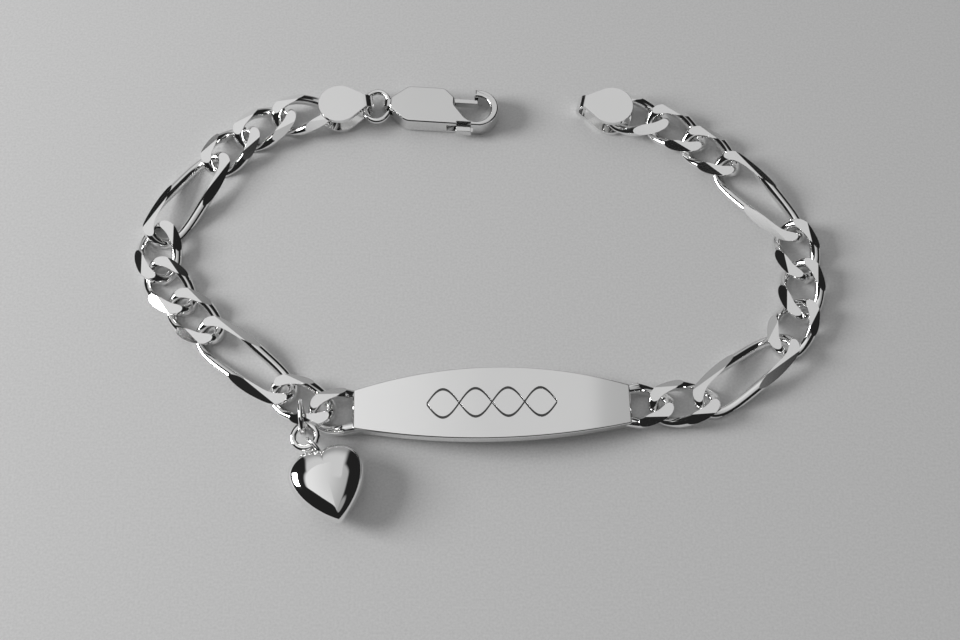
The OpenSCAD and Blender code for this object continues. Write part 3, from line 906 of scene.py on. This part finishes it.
lever_low = SLOT_LOW + LEVER_PLAY
lever_high = lever_low + LEVER_HEIGHT
hub = prism(circle(PIVOT, HUB_RADIUS), lever_low, lever_high)
stamped = prism(LEVER_OUTLINE, lever_low, lever_high, soft=LEVER_RIM)
lever_mesh = worked(stamped, [("UNION", hub)])
lever = laid("silver_trigger", lever_mesh, shaded_clasp_silver, (clasp_eye.x, clasp_eye.y, 0), CLASP_HEADING)
belongs(lever, "clasp_lever", LEVER)

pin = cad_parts["clasp_pin"]
pin.data.materials.clear()
pin.data.materials.append(shaded_clasp_silver)
print("trigger faces:", len(lever.data.polygons))

# %% [markdown]
# The charm hangs by two rings. The first stands on its edge round the first left link, the
# second lies nearly flat through it, and the heart's own small loop passes through that one.

# %% Charm rings
CHARM_RING_SIZE = 4.6
CHARM_RING_WIRE = 0.6
CHARM_RING_HEADING = -84
EYE_RING_SIZE = 3.6
EYE_RING_WIRE = 0.85
EYE_RING_HEADING = 26
EYE_RING_SLOPE = 9


def round_wire(size, wire, steps=96, sides=24):
    """A lying round ring of the size that its outside measures."""
    middle_radius = (size - wire) / 2
    return wire_mesh(ring_line(middle_radius, middle_radius, steps), wire, charm_silver, sides=sides)


charm_ring_mesh = round_wire(CHARM_RING_SIZE, CHARM_RING_WIRE)
charm_ring_mesh.transform(UPRIGHT)
charm_ring_spot = node_middle("charm_ring")
charm_ring = laid(
    "silver_charm_ring",
    charm_ring_mesh,
    charm_silver,
    charm_ring_spot,
    CHARM_RING_HEADING,
)
belongs(charm_ring, "charm_ring", BRACELET)

eye_ring_mesh = round_wire(EYE_RING_SIZE, EYE_RING_WIRE)
eye_ring_spot = node_middle("eye_ring")
eye_ring = laid(
    "silver_eye_ring",
    eye_ring_mesh,
    charm_silver,
    eye_ring_spot,
    EYE_RING_HEADING,
    EYE_RING_SLOPE,
)
belongs(eye_ring, "eye_ring", BRACELET)
print("eye ring at", [round(v, 2) for v in eye_ring_spot])

# %% [markdown]
# A puffed heart is pressed in two halves. Each level of it is the same outline drawn smaller,
# and the outline comes from a well known heart formula whose cosines set the lobes, the cleft
# and the point.

# %% The heart
HEART_WIDTH = 8.7
HEART_LENGTH = 9.0
HEART_THICKNESS = 4.2
HEART_STEPS = 120
HEART_LEVELS = 48
HEART_PEAK = radians(46)
HEART_COSINES = (13, -3.2, -1.2, -0.4)
HEART_ROUND = 0.45 * HEART_WIDTH
ROUNDING_POWER = 1.6
DOME_POWER = 2.4
DOME_ROUNDING = 0.45
CLEFT_POWER = 3
TIP_POWER = 1.6
HEART_HEADING = -73


def heart_high(t):
    """How far towards the cleft the outline is, in the formula's own measure."""
    return sum(share * cos((i + 1) * t) for i, share in enumerate(HEART_COSINES))


heart_span = heart_high(HEART_PEAK) - heart_high(pi)


def heart_edge(t):
    """A point of the outline, from the cleft at 0 to the tip at pi."""
    power = CLEFT_POWER if cos(t) > 0 else TIP_POWER
    across = abs(sin(t)) ** power * (1 if sin(t) > 0 else -1)
    return Vector((HEART_WIDTH / 2 * across, HEART_LENGTH * heart_high(t) / heart_span, 0))


def heart_point(t, scale):
    """A point of a smaller outline, which gets rounder as it shrinks."""
    edge = heart_edge(t)
    kept = scale ** ROUNDING_POWER
    return edge * scale * (kept + (1 - kept) * HEART_ROUND / edge.length)


def heart_mesh():
    """The puffed heart, level by level from its underside to its top."""
    body = bmesh.new()
    rings = []
    for j in range(1, HEART_LEVELS):
        level = pi * (j / HEART_LEVELS - 0.5)
        scale = (1 - abs(sin(level)) ** DOME_POWER) ** DOME_ROUNDING
        lift = Vector((0, 0, HEART_THICKNESS / 2 * sin(level)))
        edge = [heart_point(-2 * pi * i / HEART_STEPS, scale) + lift for i in range(HEART_STEPS)]
        rings.append([body.verts.new(p) for p in edge])
    bridge(body, rings)
    for ring, side in ((rings[0], -1), (rings[-1], 1)):
        pole = body.verts.new((0, 0, side * HEART_THICKNESS / 2))
        for k in range(HEART_STEPS):
            body.faces.new((ring[k], ring[(k + 1) % HEART_STEPS], pole))
    bmesh.ops.recalc_face_normals(body, faces=body.faces)
    mesh = mesh_of("heart", body)
    mesh.shade_smooth()
    return mesh


print("heart's cleft in mm from its middle:", round(heart_edge(0).y, 2))

# %% [markdown]
# The heart hangs from the small ring by a loop that is soldered into its cleft. Its place is
# worked out from ring to loop and from loop to cleft, so that the wires just clear each other.

# %% The heart in its place
LOOP_SIZE = 3.0
LOOP_WIRE = 0.5
LOOP_HEADING = -48
LOOP_TURN = -51
LOOP_PLAY = 0.2
HEART_SINK = 0.02

ring_radius = (EYE_RING_SIZE - EYE_RING_WIRE) / 2
loop_radius = (LOOP_SIZE - LOOP_WIRE) / 2
ring_turn = turned(EYE_RING_HEADING, EYE_RING_SLOPE).to_3x3()
hold = eye_ring_spot + ring_turn @ step_along(LOOP_TURN - EYE_RING_HEADING, ring_radius)
loop_step = loop_radius - LOOP_WIRE / 2 - EYE_RING_WIRE / 2 - LOOP_PLAY
loop_spot = hold + step_along(LOOP_HEADING, loop_step)
cleft = loop_spot + step_along(LOOP_HEADING, loop_radius - HEART_SINK)
heart_spot = cleft + step_along(HEART_HEADING, heart_edge(0).y)
heart_spot.z = HEART_THICKNESS / 2

heart = laid("silver_heart", heart_mesh(), charm_silver, heart_spot, HEART_HEADING + 90)
belongs(heart, "heart_charm", BRACELET)
loop_ring_mesh = round_wire(LOOP_SIZE, LOOP_WIRE, steps=64, sides=20)
loop_ring_mesh.transform(UPRIGHT)
heart_loop = laid("silver_heart_loop", loop_ring_mesh, charm_silver, loop_spot, LOOP_HEADING)
belongs(heart_loop, None, BRACELET)
print("heart faces:", len(heart.data.polygons), "at", [round(v, 2) for v in heart_spot])

# %% [markdown]
# Silver shows what is round it, so the room counts as much as the lamp. The bracelet lies on a
# plain matt card, and a window-like light stands on the left. The ceiling is light, and it
# fades from left to right. It ends in a line before the viewer, with a grey wall behind the
# bracelet, and the rest of the room is nearly black, which is what draws the black bevels. Matt
# things are lit by an even grey that is a little brighter at the back.

# %% Floor
FLOOR_SIZE = 3.0
FLOOR_SHADE = 0.75
MOTTLE = 0.15
MOTTLE_SCALE = 3500.0


def card(name, shade):
    """Matt card with a faint mottle."""
    material, tree = new_material(name)
    place = tree.node("ShaderNodeTexCoord", output="Object")
    mottle = tree.node("ShaderNodeTexNoise", {}, {"Vector": place, "Scale": MOTTLE_SCALE, "Detail": 3.0})
    tone = tree.mixed(mottle, grey(shade * (1 - MOTTLE)), grey(shade * (1 + MOTTLE)))
    surfaced(tree, {"Base Color": tone, "Roughness": 0.9})
    return material


edge = FLOOR_SIZE / 2
floor_corners = [(-edge, -edge, 0), (edge, -edge, 0), (edge, edge, 0), (-edge, edge, 0)]
floor_mesh = bpy.data.meshes.new("floor")
floor_mesh.from_pydata(floor_corners, [], [(0, 1, 2, 3)])
floor_mesh.materials.append(card("floor card", FLOOR_SHADE))
floor = on_bench("floor", floor_mesh)
print("floor in m:", FLOOR_SIZE)

# %% Light
WINDOW_PLACE = Vector((-0.46, 0.03, 0.2))
WINDOW_WIDTH = 0.22
WINDOW_HEIGHT = 0.17
WINDOW_POWER = 1.95

window_data = bpy.data.lights.new("window", "AREA")
window_data.shape = "RECTANGLE"
window_data.size = WINDOW_WIDTH
window_data.size_y = WINDOW_HEIGHT
window_data.energy = WINDOW_POWER
window = on_bench("window", window_data)
window.location = WINDOW_PLACE
window.rotation_euler = (-WINDOW_PLACE).to_track_quat("-Z", "Y").to_euler()
print("window in m from the bracelet:", round(WINDOW_PLACE.length, 2))

# %% The room
DARK = 0.015
CEILING_SHADE = 0.79
CEILING_FALL = 0.42
WALL_SHADE = 0.3
WALL_RISE = 0.28
PATCH_WAY = (0.57, -0.33, 0.75)
PATCH_SHADE = 0.3
MATT_SHADE = 0.2
MATT_RISE = 0.25

world = bpy.data.worlds.new("room")
bpy.context.scene.world = world
world.use_nodes = True
room = Tree(world.node_tree)
direction = room.node("ShaderNodeTexCoord", output="Generated")
parts = room.node("ShaderNodeSeparateXYZ", {}, {0: direction})
across = parts.output("X")
away = parts.output("Y")
upward = parts.output("Z")

# The ceiling ends before the viewer in a line that bends back on the left.
near_limit = -0.5 - 0.33 * (across - across.size())
overhead = upward.fade(0.74, 0.82) * (1 - across.fade(0.47, 0.55))
overhead = overhead * (away - near_limit).fade(-0.015, 0.015)
ceiling = overhead * (CEILING_SHADE - CEILING_FALL * across.fade(-0.6, 0.6))

behind = across.fade(-0.55, -0.48) * (1 - across.fade(0.25, 0.4)) * away.fade(0.0, 0.3)
back_wall = behind * (WALL_SHADE + WALL_RISE * upward.fade(0.25, 0.7))

# A small patch of light before the viewer brightens the faces that are turned to it.
patch_sockets = {0: direction, 1: Vector(PATCH_WAY).normalized()}
facing = room.node("ShaderNodeVectorMath", {"operation": "DOT_PRODUCT"}, patch_sockets, output="Value")
front_patch = PATCH_SHADE * facing.fade(0.978, 0.992)

seen = DARK + room.larger(ceiling, room.larger(back_wall, front_patch))
on_matt = room.node("ShaderNodeLightPath", output="Is Diffuse Ray")
from_behind = MATT_SHADE + MATT_RISE * away.fade(-0.4, 0.7)
strength = seen + on_matt * (from_behind - seen)
room_back = room.node("ShaderNodeBackground", {}, {"Color": grey(1), "Strength": strength})
room.node("ShaderNodeOutputWorld", {}, {"Surface": room_back})
print("room:", len(world.node_tree.nodes), "nodes")

# %% [markdown]
# The photograph looks down at about 64 degrees from a near distance. The camera stands on that
# line, aimed at the point that is in the middle of the picture.

# %% Camera
CAMERA_AIM = Vector((0.000206, -0.003585, 0.0011))
CAMERA_DISTANCE = 0.1897
CAMERA_ELEVATION = radians(64)
CAMERA_LENS = 60
SENSOR_WIDTH = 36

camera_data = bpy.data.cameras.new("camera")
camera_data.lens = CAMERA_LENS
camera_data.sensor_width = SENSOR_WIDTH
camera_data.clip_start = 0.01
camera_data.clip_end = 20
camera = on_bench("camera", camera_data)
camera_way = Vector((0, -cos(CAMERA_ELEVATION), sin(CAMERA_ELEVATION)))
camera.location = CAMERA_AIM + CAMERA_DISTANCE * camera_way
camera.rotation_euler = (pi / 2 - CAMERA_ELEVATION, 0, 0)
bpy.context.scene.camera = camera
bpy.context.scene.view_settings.view_transform = "Standard"
print("field of view in degrees:", round(degrees(camera_data.angle), 1))
